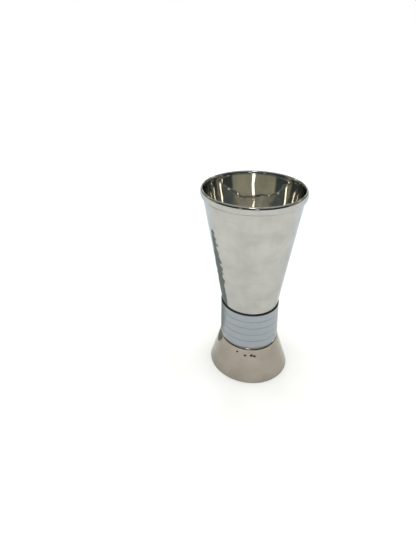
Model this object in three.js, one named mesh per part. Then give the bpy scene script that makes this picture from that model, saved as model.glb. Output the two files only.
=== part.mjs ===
// A footed ceremonial wine cup: a conical hammered bowl with a rolled rim, a waist of
// stacked anodised rings under a thin dark washer, and a flared hammered foot.
// Units are millimetres, +Z is up, and the origin is the centre of the foot on the table.
import * as THREE from "three";

// Overall sizes
const cupHeight = 140;
const rimRadius = 36;
const baseRadius = 28.6;
const footHeight = 24.5;

// Bowl
const bowlWall = 1.2;
const bowlFloor = 1.6;
const floorCorner = 3;
const heelInset = 0.7;
const heelRound = 0.4;
const rimBandHeight = 5.8;
const rimBandOverhang = 1.1;

// Foot
const footWall = 1.2;
const footDeck = 1.6;
const shoulderRound = 2;
const flangeWidth = 3;
const flangeThickness = 1.2;
const baseEdgeRound = 0.3;

// Waist
const ringCount = 5;
const ringRadius = 20.8;
const ringHeight = 5.05;
const ringChamfer = 0.25;
const washerThickness = 0.5;
const washerOverhang = 0.1;

// Stem under the bowl, riveted over below the foot's deck
const stemRadius = 5;
const stemHeadRadius = 8;
const stemHeadThickness = 2;

// Clearances between pieces that seat on, or slide over, each other
const seatGap = 0.3;
const boreClearance = 0.3;

// Hammer marks, as shallow strikes in staggered rows
const strikeDepth = 0.3;
const shallowestShare = 0.6;
const strikesAround = 28;
const strikePitch = 6;
const plainBandUnderRim = 12;
const plainBandAboveHeel = 3;
const plainBandAboveBase = 3;
const plainBandUnderShoulder = 1.8;

// Mesh fineness: two columns and two rows of mesh for each strike
const sheetSegments = 2 * strikesAround;
const ringSegments = 36;
const rimSteps = 6;
const cornerSteps = 2;
const skinTolerance = 0.05;

// Heights up the stack
const ringPitch = ringHeight + seatGap;
const firstRingBottom = footHeight + seatGap;
const washerBottom = firstRingBottom + ringCount * ringPitch;
const heelHeight = washerBottom + washerThickness + seatGap;
const floorHeight = heelHeight + bowlFloor;
const bandBottom = cupHeight - rimBandHeight;
const bandMiddle = cupHeight - rimBandHeight / 2;
const deckUnderside = footHeight - footDeck;
const stemHeadTop = deckUnderside - seatGap;

// Radii that one piece takes from another
const heelRadius = ringRadius - heelInset;
const shoulderRadius = ringRadius;
const boreRadius = stemRadius + boreClearance;

// Straight sides of the two cones, as a radius for each height
const bowlSlope = (rimRadius - rimBandOverhang - heelRadius) / (bandMiddle - heelHeight);
const footSlope = (shoulderRadius - baseRadius) / footHeight;
const footLean = THREE.MathUtils.radToDeg(Math.atan(-footSlope));
const bowlOuter = (z) => heelRadius + bowlSlope * (z - heelHeight);
const footOuter = (z) => baseRadius + footSlope * z;
const bowlInner = (z) => bowlOuter(z) - bowlWall * Math.hypot(1, bowlSlope);
const footInner = (z) => footOuter(z) - footWall * Math.hypot(1, footSlope);

const point = (radius, z) => new THREE.Vector2(radius, z);

// Points along a part of an ellipse, in degrees from the outward direction, both ends included.
function arc(centre, halfWidth, halfHeight, from, to, steps) {
  return Array.from({ length: steps + 1 }, (_, i) => {
    const angle = THREE.MathUtils.degToRad(from + ((to - from) * i) / steps);
    return point(centre.x + halfWidth * Math.cos(angle), centre.y + halfHeight * Math.sin(angle));
  });
}

const roundCorner = (radius, z, size, from, to) =>
  arc(point(radius, z), size, size, from, to, cornerSteps);

// Points up a cone's side from one height to another, both ends included.
function side(radiusAt, low, high, count) {
  return Array.from({ length: count + 1 }, (_, i) => {
    const z = low + ((high - low) * i) / count;
    return point(radiusAt(z), z);
  });
}

const hammeredRows = (low, high) => 2 * Math.max(1, Math.round((high - low) / strikePitch));

// Turns a profile about the upright axis. The lathe turns about Y, so its result is stood up.
function turned(profile, segments) {
  return new THREE.LatheGeometry(profile, segments).rotateX(Math.PI / 2);
}

// A repeatable number from 0 to 1 for each strike, so that their depths differ. Any multipliers
// that share no factor with the pattern would do.
function chance(row, column) {
  const [rowStir, columnStir, spread] = [12.99, 78.23, 43758.55];
  const mixed = Math.sin(rowStir * row + columnStir * column) * spread;
  return mixed - Math.floor(mixed);
}

// Sinks every other vertex of a cone's outer skin, in staggered rows, between two heights.
function hammer(geometry, radiusAt, low, high) {
  const position = geometry.getAttribute("position");
  const rowHeight = (high - low) / hammeredRows(low, high);
  for (let i = 0; i < position.count; i += 1) {
    const [x, y, z] = [position.getX(i), position.getY(i), position.getZ(i)];
    const radius = Math.hypot(x, y);
    const row = Math.round((z - low) / rowHeight);
    const turn = Math.atan2(y, x) / (2 * Math.PI);
    const column = Math.round((1 + turn) * sheetSegments) % sheetSegments;
    const inBand = z > low + skinTolerance && z < high - skinTolerance;
    const isSkin = Math.abs(radius - radiusAt(z)) < skinTolerance;
    if (inBand && isSkin && (row + column) % 2 === 0) {
      const share = shallowestShare + (1 - shallowestShare) * chance(row, column);
      const depth = strikeDepth * share;
      const sunk = 1 - depth / radius;
      position.setXY(i, x * sunk, y * sunk);
    }
  }
  return geometry;
}

// The rivet head and the solid stem, from the axis up to the underside of the bowl.
function stemProfile() {
  return [
    point(0, stemHeadTop - stemHeadThickness),
    point(stemHeadRadius, stemHeadTop - stemHeadThickness),
    point(stemHeadRadius, stemHeadTop),
    point(stemRadius, stemHeadTop),
    point(stemRadius, heelHeight),
  ];
}

// The rolled rim: a narrow band of oval section that hangs a little over the outer wall.
function rimProfile() {
  const inner = bowlInner(bandMiddle);
  const halfWidth = (rimRadius - inner) / 2;
  const centre = point(inner + halfWidth, bandMiddle);
  return arc(centre, halfWidth, rimBandHeight / 2, -90, 180, rimSteps);
}

function bowlGeometry() {
  const low = heelHeight + plainBandAboveHeel;
  const high = bandBottom - plainBandUnderRim;
  const cornerTop = floorHeight + floorCorner;
  const cornerCentre = bowlInner(cornerTop) - floorCorner;
  const profile = [
    ...stemProfile(),
    ...roundCorner(heelRadius - heelRound, heelHeight + heelRound, heelRound, -90, 0),
    ...side(bowlOuter, low, high, hammeredRows(low, high)),
    point(bowlOuter(bandBottom), bandBottom),
    ...rimProfile(),
    ...roundCorner(cornerCentre, cornerTop, floorCorner, 0, -90),
    point(0, floorHeight),
  ];
  return hammer(turned(profile, sheetSegments), bowlOuter, low, high);
}

// The foot: a flared cone, open below, with a deck for the rings and an inturned flange to stand on.
function footGeometry() {
  const low = plainBandAboveBase;
  const high = footHeight - plainBandUnderShoulder;
  const roundHeight = footHeight - shoulderRound;
  const flangeInner = baseRadius - flangeWidth;
  const profile = [
    point(boreRadius, deckUnderside),
    point(footInner(deckUnderside), deckUnderside),
    point(footInner(flangeThickness), flangeThickness),
    point(flangeInner, flangeThickness),
    point(flangeInner, 0),
    point(baseRadius - baseEdgeRound, 0),
    point(footOuter(baseEdgeRound), baseEdgeRound),
    ...side(footOuter, low, high, hammeredRows(low, high)),
    ...roundCorner(shoulderRadius - shoulderRound, roundHeight, shoulderRound, footLean, 90),
    point(boreRadius, footHeight),
    point(boreRadius, deckUnderside),
  ];
  return hammer(turned(profile, sheetSegments), footOuter, low, high);
}

// A flat turned ring standing on z = 0, with its two outer edges chamfered.
function ringGeometry() {
  const profile = [
    point(boreRadius, 0),
    point(ringRadius - ringChamfer, 0),
    point(ringRadius, ringChamfer),
    point(ringRadius, ringHeight - ringChamfer),
    point(ringRadius - ringChamfer, ringHeight),
    point(boreRadius, ringHeight),
    point(boreRadius, 0),
  ];
  return turned(profile, ringSegments);
}

function washerGeometry() {
  const radius = ringRadius + washerOverhang;
  const profile = [
    point(boreRadius, 0),
    point(radius, 0),
    point(radius, washerThickness),
    point(boreRadius, washerThickness),
    point(boreRadius, 0),
  ];
  return turned(profile, ringSegments);
}

const material = (color, metalness, roughness) =>
  new THREE.MeshStandardMaterial({ color, metalness, roughness });

// Hammered and polished steel: a cool light grey bowl and a slightly warmer foot
const bowlSteel = () => material(0xc3c3c0, 1, 0.14);
const footSteel = () => material(0xb3aca3, 1, 0.16);

// Satin blue-grey anodised aluminium, and matt black rubber
const anodisedAluminium = () => material(0xa3abb1, 1, 0.38);
const blackRubber = () => material(0x1d2325, 0, 0.7);

function piece(name, geometry, finish, height = 0) {
  const mesh = new THREE.Mesh(geometry, finish);
  mesh.name = name;
  mesh.position.z = height;
  return mesh;
}

const cup = new THREE.Group();
cup.add(piece("foot", footGeometry(), footSteel()));
for (let i = 0; i < ringCount; i += 1) {
  const height = firstRingBottom + i * ringPitch;
  cup.add(piece(`ring_${i + 1}`, ringGeometry(), anodisedAluminium(), height));
}
cup.add(piece("washer", washerGeometry(), blackRubber(), washerBottom));
cup.add(piece("bowl", bowlGeometry(), bowlSteel()));

export default cup;
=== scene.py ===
"""Dresses a footed metal wine cup: hammered bowl, ringed waist and flared foot, on a pale table."""

import math
import random

import bmesh
import bpy
from bpy.props import FloatProperty, FloatVectorProperty, PointerProperty
from mathutils import Matrix, Vector, kdtree, noise


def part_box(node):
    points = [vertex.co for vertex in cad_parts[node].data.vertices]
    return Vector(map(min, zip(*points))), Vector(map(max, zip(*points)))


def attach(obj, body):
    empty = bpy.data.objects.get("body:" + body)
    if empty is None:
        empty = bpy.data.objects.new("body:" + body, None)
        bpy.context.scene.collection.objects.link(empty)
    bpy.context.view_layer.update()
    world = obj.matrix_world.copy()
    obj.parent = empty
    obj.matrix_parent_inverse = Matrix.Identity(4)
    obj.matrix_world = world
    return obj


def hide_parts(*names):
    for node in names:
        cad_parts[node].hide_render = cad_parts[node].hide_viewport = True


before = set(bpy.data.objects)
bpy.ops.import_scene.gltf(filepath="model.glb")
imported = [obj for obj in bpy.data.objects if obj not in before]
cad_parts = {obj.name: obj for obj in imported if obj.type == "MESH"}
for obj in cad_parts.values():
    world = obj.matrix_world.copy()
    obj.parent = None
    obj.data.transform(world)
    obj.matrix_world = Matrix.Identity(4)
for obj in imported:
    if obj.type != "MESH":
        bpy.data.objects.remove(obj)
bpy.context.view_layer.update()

bl_info = {
    "name": "Hammered Ringed Cup",
    "version": (1, 0, 0),
    "blender": (4, 5, 0),
    "location": "View3D > Sidebar > Cup",
    "description": "Makes a hammered metal cup with a ringed waist on a pale table",
    "category": "Object",
}

MM = 0.001
FULL_TURN = 2 * math.pi

# The rings' nodes, from the lowest up
RINGS = sorted(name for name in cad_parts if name.startswith("ring_"))

# Distances under which two points are one, and a point lies on a circle, a level or a wall
MERGED = 0.0001 * MM
ON_CIRCLE = 0.01 * MM
ON_WALL = 0.02 * MM

# Fineness of the turned pieces, and the angle past which an edge stays sharp
DISC_SEGMENTS = 192
ROUNDING_SEGMENTS = 3
SHARP_ANGLE = math.radians(40)

# Sockets of a colour Mix node, whose names repeat: its share, its two colours and its result
MIX_SHARE, MIX_FIRST, MIX_SECOND, MIX_RESULT = 0, 6, 7, 2


def linear(hex_colour):
    """The linear colour, with alpha, of an sRGB hex value such as 0xC3C3C0."""
    channels = [(hex_colour >> shift & 255) / 255 for shift in (16, 8, 0)]
    curve = [c / 12.92 if c <= 0.04045 else ((c + 0.055) / 1.055) ** 2.4 for c in channels]
    return (*curve, 1.0)


def sine(degrees):
    return math.sin(math.radians(degrees))


def smooth(share):
    """Eases a share between 0 and 1, so that it starts and ends level."""
    return share * share * (3 - 2 * share)


# Sizes and colours that a user would change


def size(name, description, millimetres):
    """A length that is given in millimetres and kept in metres."""
    return FloatProperty(
        name=name, description=description, default=millimetres * MM, min=0, precision=5, unit="LENGTH"
    )


def colour(name, description, hex_colour):
    """A colour that is given as an sRGB hex value and kept linear."""
    return FloatVectorProperty(
        name=name, description=description, default=linear(hex_colour), size=4, min=0, max=1, subtype="COLOR"
    )


class CupSizes(bpy.types.PropertyGroup):
    """Sizes of the sheet metal, the turned pieces and the hammer marks."""

    wall: size("Wall", "Thickness of the bowl's and foot's sheet metal", 1.2)
    floor: size("Floor", "Thickness of the bowl's floor", 1.6)
    floor_corner: size("Floor Corner", "Rounding between the bowl's floor and wall, inside", 3)
    heel_inset: size("Heel Inset", "How far the bowl's lower end stands in from the rings", 0.7)
    heel_round: size("Heel Round", "Rounding of the bowl's lower edge", 0.4)
    rim_height: size("Rim Height", "Height of the rolled rim", 5.8)
    rim_overhang: size("Rim Overhang", "How far the rim stands out from the wall", 1.1)
    deck: size("Deck", "Thickness of the foot's top", 1.6)
    shoulder_round: size("Shoulder Round", "Rounding of the foot's top edge", 2.4)
    flange_width: size("Flange Width", "Width of the inturned flange that the foot stands on", 3)
    flange_thickness: size("Flange Thickness", "Thickness of that flange", 1.2)
    base_round: size("Base Round", "Rounding of the foot's lower edge", 0.3)
    ring_round: size("Ring Round", "Rounding of each ring's outer edges", 0.18)
    washer_round: size("Washer Round", "Rounding of the washer's outer edges", 0.12)
    seat_gap: size("Seat Gap", "Clearance that the solids keep between seated pieces", 0.3)
    contact: size("Contact", "Hairline left between seated pieces here", 0.01)
    stem: size("Stem", "Radius of the stem through the rings", 5)
    stem_head: size("Stem Head", "Radius of the riveted head under the foot's deck", 8)
    bore: size("Bore", "Radius of the hole through rings, washer and deck", 5.3)
    strike_pitch: size("Strike Pitch", "Distance from one hammer mark to the next", 5.2)
    strike_depth: size("Strike Depth", "Depth of a hammer mark", 0.12)
    ripple_length: size("Ripple Length", "Distance over which the bowl's inner wall waves", 12)
    ripple_depth: size("Ripple Depth", "Height of those waves", 0.09)
    plain_under_rim: size("Plain Under Rim", "Height of the band under the rim with no marks", 12)
    plain_above_heel: size("Plain Above Heel", "Height of the band above the heel with no marks", 3)
    plain_above_base: size("Plain Above Base", "Height of the band above the base with no marks", 3)


class CupColours(bpy.types.PropertyGroup):
    """Colours of the metals, the washer and the table."""

    bowl: colour("Bowl", "Light grey of the bowl's polished outside", 0xB3B2AE)
    # Painted shade and painted reflection: the bowl's outside gets a cooler, dimmer glancing tint than the
    # other steel, which stands in for the cool far table it reflects at its edges
    bowl_edge_painted_shade: colour("Bowl Edge", "Cooler, dimmer tint of the bowl's outside at a glancing angle, painted shade", 0xE0E3E6)
    edge: colour("Edge", "Tint of the other steel seen at a glancing angle", 0xFFFFFF)
    # Painted light: the inside is the same steel as the outside, given a brighter, warmer base colour that
    # stands in for the light inside the bowl
    bowl_inside_painted_light: colour("Bowl Inside", "Warmer, brighter base than the outside's, painted light for the bowl's inside", 0xE2E0DA)
    # Painted shade and painted reflection: the foot is given a darker, warmer base than the bowl's, which
    # stands in for the dim, warm table that it reflects
    foot: colour("Foot", "Darker, warmer grey than the bowl's, painted shade on the foot's steel", 0x9B948A)
    rings: colour("Rings", "Blue-grey of the anodised rings", 0x9FA5AB)
    washer: colour("Washer", "Near-black of the washer", 0x20282B)
    table: colour("Table", "Pale table top", 0xF4F4F2)
    # Painted light: the far part of the table is given a cooler white, which stands in for cool light from
    # the far side and shows in the bowl's edges
    table_far_painted_cool_light: colour("Far Table Painted Cool Light", "Cooler white painted on the far part of the table as cool light", 0xF4F9FE)


class StageSettings(bpy.types.PropertyGroup):
    """The camera's place and lens and the strength of the lights."""

    camera_distance: size("Camera Distance", "Level distance from the cup's axis to the lens", 279.1)
    camera_height: size("Camera Height", "Height of the lens above the table", 244.5)
    focal: FloatProperty(
        name="Focal Length", description="In pixels of the photograph's frame", default=436.4
    )
    soft_light: FloatProperty(
        name="Soft Light", description="Strength of the soft light from above", default=2.4
    )
    strip_glow: FloatProperty(
        name="Strip Glow", description="Brightness of the upright strips", default=2.6
    )


# Meshes


def outline(bm, points):
    """A chain of edges through points given as (radius, height), in the plane of X and Z."""
    verts = [bm.verts.new((radius, 0, height)) for radius, height in points]
    return [bm.edges.new(pair) for pair in zip(verts, verts[1:])]


def arc(centre, half_width, half_height, start, end, steps):
    """Points along part of an ellipse, in degrees from the outward direction, both ends included."""
    radius, height = centre
    angles = [math.radians(start + (end - start) * i / steps) for i in range(steps + 1)]
    return [(radius + half_width * math.cos(a), height + half_height * math.sin(a)) for a in angles]


def split(bm, edge, longest):
    """Cuts an edge into equal lengths no longer than the one given."""
    cuts = math.ceil(edge.calc_length() / longest) - 1
    bmesh.ops.subdivide_edges(bm, edges=[edge], cuts=cuts)


def spin(bm, steps):
    """Turns the outline about Z into a closed skin with its faces pointing out."""
    bmesh.ops.spin(
        bm, geom=[*bm.verts, *bm.edges], cent=(0, 0, 0), axis=(0, 0, 1),
        angle=FULL_TURN, steps=steps, use_merge=True,
    )
    bmesh.ops.remove_doubles(bm, verts=bm.verts, dist=MERGED)
    bmesh.ops.recalc_face_normals(bm, faces=bm.faces)


def round_circle(bm, radius, height, amount):
    """Rounds the circular edge at one radius and height."""

    def on_circle(vert):
        return abs(vert.co.xy.length - radius) < ON_CIRCLE and abs(vert.co.z - height) < ON_CIRCLE

    edges = [e for e in bm.edges if all(on_circle(v) for v in e.verts)]
    if not edges:
        raise ValueError(f"no edge to round at radius {radius:.4f}, height {height:.4f}")
    bmesh.ops.bevel(
        bm, geom=edges, offset=amount, segments=ROUNDING_SEGMENTS, profile=0.5, affect="EDGES", material=-1
    )


def disc(bm, bore, radius, bottom, top, rounding):
    """A flat disc with a hole, its two outer edges rounded."""
    outline(bm, [(bore, bottom), (radius, bottom), (radius, top), (bore, top), (bore, bottom)])
    spin(bm, DISC_SEGMENTS)
    for height in (bottom, top):
        round_circle(bm, radius, height, rounding)


def finished(bm, name, materials, node):
    """Turns the mesh into a smooth piece that stands for its node and rides on the cup."""
    mesh = bpy.data.meshes.new(name)
    bm.to_mesh(mesh)
    bm.free()
    mesh.shade_smooth()
    mesh.set_sharp_from_angle(angle=SHARP_ANGLE)
    for material in materials:
        mesh.materials.append(material)
    piece = bpy.data.objects.new(name, mesh)
    bpy.context.scene.collection.objects.link(piece)
    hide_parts(node)
    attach(piece, "root")


# Hammer marks


def place_on(radius_at, turn, height):
    """The place on a round wall at an angle and a height."""
    radius = radius_at(height)
    return Vector((radius * math.cos(turn), radius * math.sin(turn), height))


class Hammering:
    """Overlapping shallow strikes in uneven rows on a straight cone side."""

    hammer_radius = 40 * MM
    ridge_softness = 0.012 * MM
    fade = 5 * MM

    # Shares: of the pitch that a strike may be out of its row, and of the depth that the weakest has
    scatter = 0.28
    weakest = 0.65

    # How many of the nearest strikes are blended at one place
    overlap = 4

    def __init__(self, radius_at, low, high, pitch, depth, seed):
        self.radius_at = radius_at
        self.low = low
        self.high = high
        self.depth = depth
        self.strengths = []
        draw = random.Random(seed)
        rows = round((high - low) / pitch) + 1
        centres = []
        for row in range(rows):
            middle = low + (high - low) * row / (rows - 1)
            around = round(FULL_TURN * radius_at(middle) / pitch)
            for column in range(around):
                turn = FULL_TURN * (column + row / 2 + draw.uniform(-self.scatter, self.scatter)) / around
                height = middle + pitch * draw.uniform(-self.scatter, self.scatter)
                self.strengths.append(draw.uniform(self.weakest, 1))
                centres.append(place_on(radius_at, turn, height))
        self.tree = kdtree.KDTree(len(centres))
        for index, centre in enumerate(centres):
            self.tree.insert(centre, index)
        self.tree.balance()

    def at(self, place):
        """How far the wall is sunk at a place on it, in metres."""
        inside = min(place.z - self.low, self.high - place.z)
        if inside <= 0:
            return 0.0
        total = 0.0
        for _, index, distance in self.tree.find_n(place, self.overlap):
            sunk = self.depth * self.strengths[index] - distance ** 2 / (2 * self.hammer_radius)
            total += math.exp(sunk / self.ridge_softness)
        # The deepest strike wins, and the soft maximum rounds the ridges between strikes
        deepest = self.ridge_softness * (math.log(1 + total) - math.log(2))
        return max(0.0, deepest) * smooth(min(1, inside / self.fade))


def hammer_skin(bm, marks):
    """Sinks the outer skin of a hammered wall towards the axis."""
    for vert in bm.verts:
        radius = vert.co.xy.length
        if abs(radius - marks.radius_at(vert.co.z)) < ON_WALL:
            vert.co.xy *= 1 - marks.at(vert.co) / radius


def ripple_skin(bm, radius_at, bottom, top, length, depth):
    """Gives a wall, between two heights, the gentle waves that hammering leaves on its inside."""
    fade = 7 * MM
    for vert in bm.verts:
        radius = vert.co.xy.length
        if abs(radius - radius_at(vert.co.z)) < ON_WALL:
            inside = min(top - vert.co.z, vert.co.z - bottom)
            share = smooth(max(0, min(1, inside / fade)))
            vert.co.xy *= 1 + share * depth * noise.noise(vert.co / length) / radius


def dent(bm, centre, width, depth):
    """Sinks one small round dent, towards the axis."""
    for vert in bm.verts:
        share = 1 - ((vert.co - centre).length / (width / 2)) ** 2
        if share > 0:
            vert.co.xy *= 1 - depth * share * share / vert.co.xy.length


# Materials


def add_node(tree, kind, settings=None, links=None):
    """Adds a node, sets its properties and unlinked inputs, and links its other inputs."""
    node = tree.nodes.new(kind)
    for key, value in (settings or {}).items():
        if isinstance(key, str) and hasattr(node, key):
            setattr(node, key, value)
        else:
            node.inputs[key].default_value = value
    for key, output in (links or {}).items():
        tree.links.new(output, node.inputs[key])
    return node


def new_material(name):
    """A material with no nodes yet."""
    material = bpy.data.materials.new(name)
    material.use_nodes = True
    material.node_tree.nodes.clear()
    return material


def uneven_pattern(tree, place, width, height, detail):
    """Soft light and dark patches over the piece, of the width and height given."""
    scaled = add_node(
        tree, "ShaderNodeMapping", {"Scale": (1 / width, 1 / width, 1 / height)}, {"Vector": place}
    )
    patches = add_node(
        tree, "ShaderNodeTexNoise", {"Scale": 1.0, "Detail": detail}, {"Vector": scaled.outputs["Vector"]}
    )
    return patches.outputs["Fac"]


def polished_steel(name, base, edge, glossiest, dullest):
    """Hammered and polished stainless steel: mirror-like, with faint spinning lines and a soft
    cloudiness where the polishing mop left it duller. Real lines are too fine to show, so they are
    drawn coarser."""
    cloud_width, cloud_height = 15 * MM, 11 * MM
    line_length, line_height, line_depth = 30 * MM, 0.9 * MM, 0.01 * MM
    line_strength = 0.22
    material = new_material(name)
    tree = material.node_tree
    place = add_node(tree, "ShaderNodeTexCoord").outputs["Object"]
    clouds = uneven_pattern(tree, place, cloud_width, cloud_height, 2.0)
    lines = uneven_pattern(tree, place, line_length, line_height, 2.0)
    rough = add_node(
        tree, "ShaderNodeMapRange", {"To Min": glossiest, "To Max": dullest}, {"Value": clouds}
    )
    bump = add_node(tree, "ShaderNodeBump", {"Strength": 0.25, "Distance": line_depth}, {"Height": lines})
    marks = add_node(
        tree, "ShaderNodeMath", {"operation": "MULTIPLY_ADD", 1: line_strength}, {0: lines, 2: clouds}
    )
    shade = add_node(
        tree, "ShaderNodeMapRange", {"From Min": 0.4, "From Max": 0.8, "To Min": 0.87, "To Max": 1.05},
        {"Value": marks.outputs[0]},
    )
    tone = add_node(
        tree, "ShaderNodeVectorMath", {"operation": "SCALE", 0: base[:3]}, {"Scale": shade.outputs["Result"]}
    )
    steel = add_node(
        tree, "ShaderNodeBsdfPrincipled", {"Metallic": 1.0, "Specular Tint": tuple(edge)},
        {
            "Base Color": tone.outputs["Vector"],
            "Roughness": rough.outputs["Result"],
            "Normal": bump.outputs["Normal"],
        },
    )
    add_node(tree, "ShaderNodeOutputMaterial", None, {"Surface": steel.outputs["BSDF"]})
    return material


def anodised_aluminium(name, base):
    """Turned aluminium, satin anodised: an even soft sheen over fine turning lines. Real lines are too
    fine to show, so they are drawn coarser."""
    line_length, line_height, line_depth = 60 * MM, 0.35 * MM, 0.01 * MM
    grain = 3 * MM
    material = new_material(name)
    tree = material.node_tree
    place = add_node(tree, "ShaderNodeTexCoord").outputs["Object"]
    lines = uneven_pattern(tree, place, line_length, line_height, 3.0)
    bump = add_node(tree, "ShaderNodeBump", {"Strength": 0.3, "Distance": line_depth}, {"Height": lines})
    speckle = add_node(tree, "ShaderNodeTexNoise", {"Scale": 1 / grain, "Detail": 4.0}, {"Vector": place})
    rough = add_node(
        tree, "ShaderNodeMapRange", {"To Min": 0.34, "To Max": 0.46}, {"Value": speckle.outputs["Fac"]}
    )
    shade = add_node(tree, "ShaderNodeMapRange", {"To Min": 0.93, "To Max": 1.05}, {"Value": lines})
    tone = add_node(
        tree, "ShaderNodeVectorMath", {"operation": "SCALE", 0: base[:3]}, {"Scale": shade.outputs["Result"]}
    )
    metal = add_node(
        tree, "ShaderNodeBsdfPrincipled", {"Metallic": 1.0},
        {
            "Base Color": tone.outputs["Vector"],
            "Roughness": rough.outputs["Result"],
            "Normal": bump.outputs["Normal"],
        },
    )
    add_node(tree, "ShaderNodeOutputMaterial", None, {"Surface": metal.outputs["BSDF"]})
    return material


def black_rubber(name, base):
    """Moulded nitrile rubber: matt near-black with a fine even grain."""
    grain, grain_depth = 0.4 * MM, 0.03 * MM
    material = new_material(name)
    tree = material.node_tree
    place = add_node(tree, "ShaderNodeTexCoord").outputs["Object"]
    fine = add_node(tree, "ShaderNodeTexNoise", {"Scale": 1 / grain, "Detail": 2.0}, {"Vector": place})
    bump = add_node(
        tree, "ShaderNodeBump", {"Strength": 0.4, "Distance": grain_depth}, {"Height": fine.outputs["Fac"]}
    )
    rough = add_node(
        tree, "ShaderNodeMapRange", {"To Min": 0.5, "To Max": 0.7}, {"Value": fine.outputs["Fac"]}
    )
    rubber = add_node(
        tree, "ShaderNodeBsdfPrincipled", {"Base Color": tuple(base), "IOR": 1.5},
        {"Roughness": rough.outputs["Result"], "Normal": bump.outputs["Normal"]},
    )
    add_node(tree, "ShaderNodeOutputMaterial", None, {"Surface": rubber.outputs["BSDF"]})
    return material


def matt_board(name, near, far):
    """White lacquered board: pale and matt, faintly uneven, and with painted cool light behind the cup: a
    cooler white there that stands in for cool light from the far side.
    """
    far_starts, far_ends = 40 * MM, 150 * MM
    patch = 40 * MM
    material = new_material(name)
    tree = material.node_tree
    place = add_node(tree, "ShaderNodeTexCoord").outputs["Object"]
    away = add_node(tree, "ShaderNodeSeparateXYZ", None, {"Vector": place}).outputs["Y"]
    distance = add_node(
        tree, "ShaderNodeMapRange",
        {"interpolation_type": "SMOOTHSTEP", "From Min": far_starts, "From Max": far_ends},
        {"Value": away},
    )
    # Painted cool light: the board turns a cooler white behind the cup
    white = add_node(
        tree, "ShaderNodeMix", {"data_type": "RGBA", MIX_FIRST: tuple(near), MIX_SECOND: tuple(far)},
        {MIX_SHARE: distance.outputs["Result"]},
    )
    soft = add_node(tree, "ShaderNodeTexNoise", {"Scale": 1 / patch, "Detail": 1.0}, {"Vector": place})
    shade = add_node(
        tree, "ShaderNodeMapRange", {"From Min": 0.3, "From Max": 0.7, "To Min": 0.97, "To Max": 1.03},
        {"Value": soft.outputs["Fac"]},
    )
    tone = add_node(
        tree, "ShaderNodeVectorMath", {"operation": "SCALE"},
        {0: white.outputs[MIX_RESULT], "Scale": shade.outputs["Result"]},
    )
    board = add_node(
        tree, "ShaderNodeBsdfPrincipled", {"Roughness": 0.9, "Specular IOR Level": 0.1},
        {"Base Color": tone.outputs["Vector"]},
    )
    add_node(tree, "ShaderNodeOutputMaterial", None, {"Surface": board.outputs["BSDF"]})
    return material


def grey_card(name):
    """Uncoated grey board: matt and even, so that it shows in the metal only as a darker band."""
    material = new_material(name)
    tree = material.node_tree
    card = add_node(
        tree, "ShaderNodeBsdfPrincipled", {"Base Color": linear(0x8E9490), "Roughness": 1.0, "IOR": 1.5}
    )
    add_node(tree, "ShaderNodeOutputMaterial", None, {"Surface": card.outputs["BSDF"]})
    return material


# Operators


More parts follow.
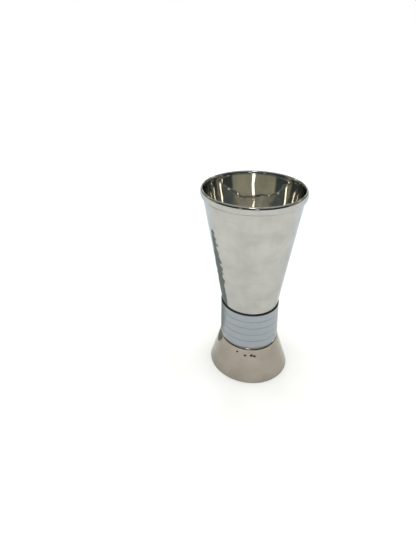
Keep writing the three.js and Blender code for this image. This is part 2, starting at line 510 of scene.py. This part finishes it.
class CUP_OT_bowl(bpy.types.Operator):
    """Make the hammered bowl with its rolled rim, floor and stem"""

    bl_idname = "cup.bowl"
    bl_label = "Bowl"
    bl_options = {"REGISTER", "UNDO"}

    columns = 320
    row_height = 0.6 * MM
    inner_row_height = 1.2 * MM
    rim_steps = 18
    corner_steps = 6
    head_round = 0.4 * MM
    hammer_seed = 7

    def execute(self, context):
        sizes, colours = context.scene.cup_sizes, context.scene.cup_colours
        low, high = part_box("bowl")
        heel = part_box("washer")[1].z + sizes.contact
        heel_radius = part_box(RINGS[-1])[1].x - sizes.heel_inset
        rim_radius = high.x
        band_middle = high.z - sizes.rim_height / 2
        band_bottom = high.z - sizes.rim_height
        slope = (rim_radius - sizes.rim_overhang - heel_radius) / (band_middle - heel)
        lean = math.hypot(1, slope)

        def outer(z):
            return heel_radius + slope * (z - heel)

        def inner(z):
            return outer(z) - sizes.wall * lean

        # The floor's top stays where the solid has it, though the heel comes down to the washer
        floor = heel + sizes.seat_gap - sizes.contact + sizes.floor
        head_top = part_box("foot")[1].z - sizes.deck - sizes.seat_gap
        stem = [
            (0, low.z),
            (sizes.stem_head, low.z),
            (sizes.stem_head, head_top),
            (sizes.stem, head_top),
            (sizes.stem, heel),
        ]
        half_width = (rim_radius - inner(band_middle)) / 2
        rim_centre = (rim_radius - half_width, band_middle)
        rim = arc(rim_centre, half_width, sizes.rim_height / 2, -90, 180, self.rim_steps)
        rounding = sizes.floor_corner
        corner_centre = (inner(floor) - rounding * (lean - slope), floor + rounding)
        corner_start = -math.degrees(math.atan(slope))
        corner = arc(corner_centre, rounding, rounding, corner_start, -90, self.corner_steps)

        bm = bmesh.new()
        edges = outline(bm, [
            *stem,
            (heel_radius, heel),
            (outer(band_bottom), band_bottom),
            *rim,
            *corner,
            (0, floor),
        ])
        outer_side, inner_side = edges[len(stem)], edges[-1 - len(corner)]
        split(bm, outer_side, self.row_height)
        split(bm, inner_side, self.inner_row_height)
        spin(bm, self.columns)
        marks = Hammering(
            outer, heel + sizes.plain_above_heel, band_bottom - sizes.plain_under_rim,
            sizes.strike_pitch, sizes.strike_depth, self.hammer_seed,
        )
        hammer_skin(bm, marks)
        corner_top = corner[0][1]
        ripple_skin(bm, inner, corner_top, band_middle, sizes.ripple_length, sizes.ripple_depth)
        round_circle(bm, heel_radius, heel, sizes.heel_round)
        round_circle(bm, sizes.stem_head, low.z, self.head_round)
        self.finish_inside(bm, floor, band_middle)
        # The outside's cooler, dimmer glancing tint is painted shade and a painted reflection of the cool
        # far table
        outside = polished_steel(
            "Polished steel bowl", colours.bowl, colours.bowl_edge_painted_shade, glossiest=0.06, dullest=0.13
        )
        # The inside's brighter, warmer base is painted light; its steel is the same as the outside's
        inside = polished_steel(
            "Polished steel bowl inside painted light", colours.bowl_inside_painted_light, colours.edge, glossiest=0.02, dullest=0.06
        )
        finished(bm, "hammered_bowl", [outside, inside], "bowl")
        return {"FINISHED"}

    def finish_inside(self, bm, floor, top):
        """Gives the second material to the floor and to the wall's inside, up to a height."""
        nearly_level = 0.9
        bm.normal_update()
        for face in bm.faces:
            middle = face.calc_center_median()
            looks_in = face.normal.z > nearly_level or face.normal.xy.dot(middle.xy) < 0
            face.material_index = int(looks_in and floor - ON_CIRCLE < middle.z < top)


class CUP_OT_foot(bpy.types.Operator):
    """Make the flared hammered foot with its shoulder, deck and flange"""

    bl_idname = "cup.foot"
    bl_label = "Foot"
    bl_options = {"REGISTER", "UNDO"}

    columns = 480
    row_height = 0.4 * MM
    shoulder_steps = 12
    hammer_seed = 11

    # Dents under the shoulder: the angle in degrees, then height, width and depth in millimetres
    dents = ((-110, 20.8, 2.4, 0.24), (-95, 19.6, 2.8, 0.3), (-83, 20, 3.4, 0.38), (-77.5, 19.5, 3, 0.32))

    def execute(self, context):
        sizes, colours = context.scene.cup_sizes, context.scene.cup_colours
        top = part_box("foot")[1].z
        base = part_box("foot")[1].x
        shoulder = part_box(RINGS[0])[1].x
        slope = (shoulder - base) / (top - sizes.base_round)
        lean = math.hypot(1, slope)

        def outer(z):
            return base + slope * (z - sizes.base_round)

        def inner(z):
            return outer(z) - sizes.wall * lean

        under_deck = top - sizes.deck
        flange_inner = outer(0) - sizes.flange_width
        underside = [
            (sizes.bore, top),
            (sizes.bore, under_deck),
            (inner(under_deck), under_deck),
            (inner(sizes.flange_thickness), sizes.flange_thickness),
            (flange_inner, sizes.flange_thickness),
            (flange_inner, 0),
            (base - sizes.base_round, 0),
            (base, sizes.base_round),
        ]
        rounding = sizes.shoulder_round
        tilt = math.atan(-slope)
        turn_in = (1 - math.sin(tilt)) / math.cos(tilt)
        shoulder_centre = (shoulder - rounding * turn_in, top - rounding)
        shoulder_arc = arc(shoulder_centre, rounding, rounding, math.degrees(tilt), 90, self.shoulder_steps)

        bm = bmesh.new()
        edges = outline(bm, [*underside, *shoulder_arc, (sizes.bore, top)])
        outer_side = edges[len(underside) - 1]
        split(bm, outer_side, self.row_height)
        spin(bm, self.columns)
        marks = Hammering(
            outer, sizes.plain_above_base, top - 2 * rounding,
            sizes.strike_pitch, sizes.strike_depth, self.hammer_seed,
        )
        hammer_skin(bm, marks)
        for turn, height, width, depth in self.dents:
            centre = place_on(outer, math.radians(turn), height * MM)
            dent(bm, centre, width * MM, depth * MM)
        # The foot's darker, warmer base is painted shade and a painted reflection of the dim, warm table in
        # front
        steel = polished_steel(
            "Polished steel foot painted shade", colours.foot, colours.edge, glossiest=0.05, dullest=0.11
        )
        finished(bm, "flared_foot", [steel], "foot")
        return {"FINISHED"}


class CUP_OT_rings(bpy.types.Operator):
    """Make the turned rings of the waist"""

    bl_idname = "cup.rings"
    bl_label = "Rings"
    bl_options = {"REGISTER", "UNDO"}

    def execute(self, context):
        sizes, colours = context.scene.cup_sizes, context.scene.cup_colours
        metal = anodised_aluminium("Anodised aluminium", colours.rings)
        closing = sizes.seat_gap - sizes.contact
        for name in RINGS:
            low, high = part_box(name)
            bottom = low.z - (closing if name == RINGS[0] else 0)
            bm = bmesh.new()
            disc(bm, sizes.bore, high.x, bottom, high.z + closing, sizes.ring_round)
            finished(bm, f"turned_{name}", [metal], name)
        return {"FINISHED"}


class CUP_OT_washer(bpy.types.Operator):
    """Make the thin dark washer under the bowl"""

    bl_idname = "cup.washer"
    bl_label = "Washer"
    bl_options = {"REGISTER", "UNDO"}

    def execute(self, context):
        sizes, colours = context.scene.cup_sizes, context.scene.cup_colours
        low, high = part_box("washer")
        bm = bmesh.new()
        disc(bm, sizes.bore, high.x, low.z, high.z, sizes.washer_round)
        finished(bm, "black_washer", [black_rubber("Black rubber", colours.washer)], "washer")
        return {"FINISHED"}


def place_camera(settings):
    """A lens above and in front of the cup, tipped down and turned a little to the left of it."""
    # The photograph's frame and the point on the lens's axis are in pixels, the sensor in millimetres
    frame_width, frame_height, sensor = 416, 555, 36
    principal = (172.2, 180)
    pan, pitch, roll = (math.radians(angle) for angle in (-11.25, 19.66, -1.85))
    data = bpy.data.cameras.new("Camera")
    data.sensor_width = sensor
    data.lens = settings.focal * sensor / frame_height
    data.shift_x = (frame_width / 2 - principal[0]) / frame_height
    data.shift_y = (principal[1] - frame_height / 2) / frame_height
    data.clip_start, data.clip_end = 0.01, 50
    camera = bpy.data.objects.new("Camera", data)
    bpy.context.scene.collection.objects.link(camera)
    level = Vector((math.sin(pan), math.cos(pan), 0))
    across = Vector((math.cos(pan), -math.sin(pan), 0))
    forward = math.cos(pitch) * level - math.sin(pitch) * Vector((0, 0, 1))
    above = math.sin(pitch) * level + math.cos(pitch) * Vector((0, 0, 1))
    right = math.cos(roll) * across + math.sin(roll) * above
    up = math.cos(roll) * above - math.sin(roll) * across
    turn = Matrix((right, up, -forward)).transposed()
    camera.matrix_world = Matrix.LocRotScale(
        Vector((0, -settings.camera_distance, settings.camera_height)), turn, None
    )
    bpy.context.scene.camera = camera


def surroundings(strip_glow):
    """A studio as polished metal shows it: olive-grey, paler overhead, with a dark band round it some
    25 to 30 degrees up, darker still from there down on the camera's side, and with upright bright
    strips behind, in front and at both sides. The camera itself sees plain white."""
    tones = {"room": 0x9C9A8A, "overhead": 0xD4D6D6, "band": 0x666F72, "near": 0x40494C, "strip": 0xFFFCF0}
    world = bpy.data.worlds.new("Studio")
    world.use_nodes = True
    tree = world.node_tree
    tree.nodes.clear()

    # Across points to the right of the cup, along points behind it, and upward to the ceiling
    direction = add_node(tree, "ShaderNodeTexCoord").outputs["Generated"]
    level = add_node(tree, "ShaderNodeVectorMath", {"operation": "MULTIPLY", 1: (1, 1, 0)}, {0: direction})
    heading = add_node(tree, "ShaderNodeVectorMath", {"operation": "NORMALIZE"}, {0: level.outputs[0]})
    compass = add_node(tree, "ShaderNodeSeparateXYZ", None, {"Vector": heading.outputs[0]})
    across, along = compass.outputs["X"], compass.outputs["Y"]
    upward = add_node(tree, "ShaderNodeSeparateXYZ", None, {"Vector": direction}).outputs["Z"]

    # Each fade starts at the first angle, in degrees, and is full at the second
    angles = {
        "overhead": (upward, 24, 62),
        "near": (along, -5, -20),
        "band": (upward, 22.5, 25),
        "low": (upward, 34, 30),
    }
    fades = {}
    for name, (value, start, end) in angles.items():
        limits = {"From Min": sine(start), "From Max": sine(end)}
        fade = add_node(
            tree, "ShaderNodeMapRange", {"interpolation_type": "SMOOTHSTEP", **limits}, {"Value": value}
        )
        fades[name] = fade.outputs["Result"]
    shown = add_node(
        tree, "ShaderNodeMix",
        {"data_type": "RGBA", MIX_FIRST: linear(tones["room"]), MIX_SECOND: linear(tones["overhead"])},
        {MIX_SHARE: fades["overhead"]},
    ).outputs[MIX_RESULT]
    for name in ("band", "near"):
        dark = add_node(tree, "ShaderNodeMath", {"operation": "MULTIPLY"}, {0: fades[name], 1: fades["low"]})
        shown = add_node(
            tree, "ShaderNodeMix", {"data_type": "RGBA", MIX_SECOND: linear(tones[name])},
            {MIX_SHARE: dark.outputs[0], MIX_FIRST: shown},
        ).outputs[MIX_RESULT]

    # Each strip has its share of the glow and the angles, in degrees, between which it lies: one
    # behind the cup, one high in front, two low in front, and a pair at the sides
    strips = (
        (1.3, ((across, -6, 6), (along, 0, 90), (upward, 5, 26))),
        (2.4, ((across, -8, 6), (along, -90, 0), (upward, 37, 47))),
        (1.1, ((across, 6, 12), (along, -90, 0), (upward, 9, 15))),
        (0.7, ((across, -27, -22), (along, -90, 0), (upward, 11, 16))),
        (1.5, ((along, 18, 29), (upward, 22, 29))),
    )
    for share, limits in strips:
        glow = (*(share * strip_glow * channel for channel in linear(tones["strip"])[:3]), 1)
        inside = None
        for value, start, end in limits:
            middle, half = (sine(start) + sine(end)) / 2, (sine(end) - sine(start)) / 2
            within = add_node(
                tree, "ShaderNodeMath", {"operation": "COMPARE", 1: middle, 2: half}, {0: value}
            ).outputs[0]
            if inside is not None:
                within = add_node(
                    tree, "ShaderNodeMath", {"operation": "MULTIPLY"}, {0: inside, 1: within}
                ).outputs[0]
            inside = within
        shown = add_node(
            tree, "ShaderNodeMix", {"data_type": "RGBA", MIX_SECOND: glow},
            {MIX_SHARE: inside, MIX_FIRST: shown},
        ).outputs[MIX_RESULT]

    seen = add_node(tree, "ShaderNodeLightPath").outputs["Is Camera Ray"]
    plain = add_node(
        tree, "ShaderNodeMix", {"data_type": "RGBA", MIX_SECOND: (1, 1, 1, 1)},
        {MIX_SHARE: seen, MIX_FIRST: shown},
    )
    room = add_node(
        tree, "ShaderNodeBackground", {"Strength": 1.0}, {"Color": plain.outputs[MIX_RESULT]}
    )
    add_node(tree, "ShaderNodeOutputWorld", None, {"Surface": room.outputs["Background"]})
    bpy.context.scene.world = world


def soft_light(strength):
    """One very soft light from straight above, which lights the table evenly and shows in no metal."""
    spread = math.radians(120)
    data = bpy.data.lights.new("Soft light", "SUN")
    data.energy = strength
    data.angle = spread
    light = bpy.data.objects.new("Soft light", data)
    bpy.context.scene.collection.objects.link(light)
    light.visible_glossy = False


def flat_stage(name, shape, material):
    """A flat thing that belongs to the stage, from a bmesh."""
    mesh = bpy.data.meshes.new(name)
    shape.to_mesh(mesh)
    shape.free()
    mesh.materials.append(material)
    thing = bpy.data.objects.new(name, mesh)
    bpy.context.scene.collection.objects.link(thing)
    return thing


class CUP_OT_stage(bpy.types.Operator):
    """Make the pale table, the grey card, the surroundings, the soft light and the camera"""

    bl_idname = "cup.stage"
    bl_label = "Table, Lights and Camera"
    bl_options = {"REGISTER", "UNDO"}

    # Half the table's length and width, in metres, so that its edges are out of sight
    table_reach = 12

    # The grey card is an oval that only the metal shows
    card_length = 144 * MM
    card_width = 84 * MM
    card_place = (-91 * MM, 62 * MM, 4 * MM)
    card_turn = math.radians(-37)
    card_segments = 48

    # Light crosses the deep bowl more often than Blender's usual 4 bounces allow
    glossy_bounces = 8

    def execute(self, context):
        settings, colours = context.scene.cup_stage, context.scene.cup_colours
        self.make_table(colours)
        self.make_card()
        surroundings(settings.strip_glow)
        soft_light(settings.soft_light)
        place_camera(settings)
        context.scene.cycles.glossy_bounces = self.glossy_bounces
        view = context.scene.view_settings
        view.view_transform = "Standard"
        view.look = "None"
        return {"FINISHED"}

    def make_table(self, colours):
        """A level board whose top is at the height of the cup's underside."""
        board = bmesh.new()
        bmesh.ops.create_grid(board, x_segments=1, y_segments=1, size=self.table_reach)
        flat_stage("Table", board, matt_board("White board", colours.table, colours.table_far_painted_cool_light))

    def make_card(self):
        """A level oval card behind the cup on its left, which gives the metal a darker band."""
        oval = bmesh.new()
        bmesh.ops.create_circle(oval, cap_ends=True, segments=self.card_segments, radius=0.5)
        bmesh.ops.scale(oval, verts=oval.verts, vec=(self.card_length, self.card_width, 1))
        bmesh.ops.rotate(oval, verts=oval.verts, matrix=Matrix.Rotation(self.card_turn, 3, "Z"))
        bmesh.ops.translate(oval, verts=oval.verts, vec=self.card_place)
        card = flat_stage("Grey card", oval, grey_card("Grey card"))
        card.visible_camera = False
        card.visible_diffuse = False
        card.visible_shadow = False


class CUP_PT_panel(bpy.types.Panel):
    """Lists the makers of the cup's pieces, its sizes and colours, and the stage's settings"""

    bl_idname = "CUP_PT_panel"
    bl_label = "Cup"
    bl_space_type = "VIEW_3D"
    bl_region_type = "UI"
    bl_category = "Cup"

    def draw(self, context):
        for maker in MAKERS:
            self.layout.operator(maker.bl_idname)
        for group in (context.scene.cup_sizes, context.scene.cup_colours, context.scene.cup_stage):
            box = self.layout.box()
            for name in group.bl_rna.properties.keys():
                if name not in ("rna_type", "name"):
                    box.prop(group, name)


MAKERS = (CUP_OT_stage, CUP_OT_bowl, CUP_OT_foot, CUP_OT_rings, CUP_OT_washer)
CLASSES = (CupSizes, CupColours, StageSettings, *MAKERS, CUP_PT_panel)


def register():
    for kind in CLASSES:
        bpy.utils.register_class(kind)
    bpy.types.Scene.cup_sizes = PointerProperty(type=CupSizes)
    bpy.types.Scene.cup_colours = PointerProperty(type=CupColours)
    bpy.types.Scene.cup_stage = PointerProperty(type=StageSettings)


def unregister():
    del bpy.types.Scene.cup_stage
    del bpy.types.Scene.cup_colours
    del bpy.types.Scene.cup_sizes
    for kind in reversed(CLASSES):
        bpy.utils.unregister_class(kind)


def main():
    register()
    bpy.ops.cup.stage()
    bpy.ops.cup.bowl()
    bpy.ops.cup.foot()
    bpy.ops.cup.rings()
    bpy.ops.cup.washer()


if __name__ == "__main__":
    main()
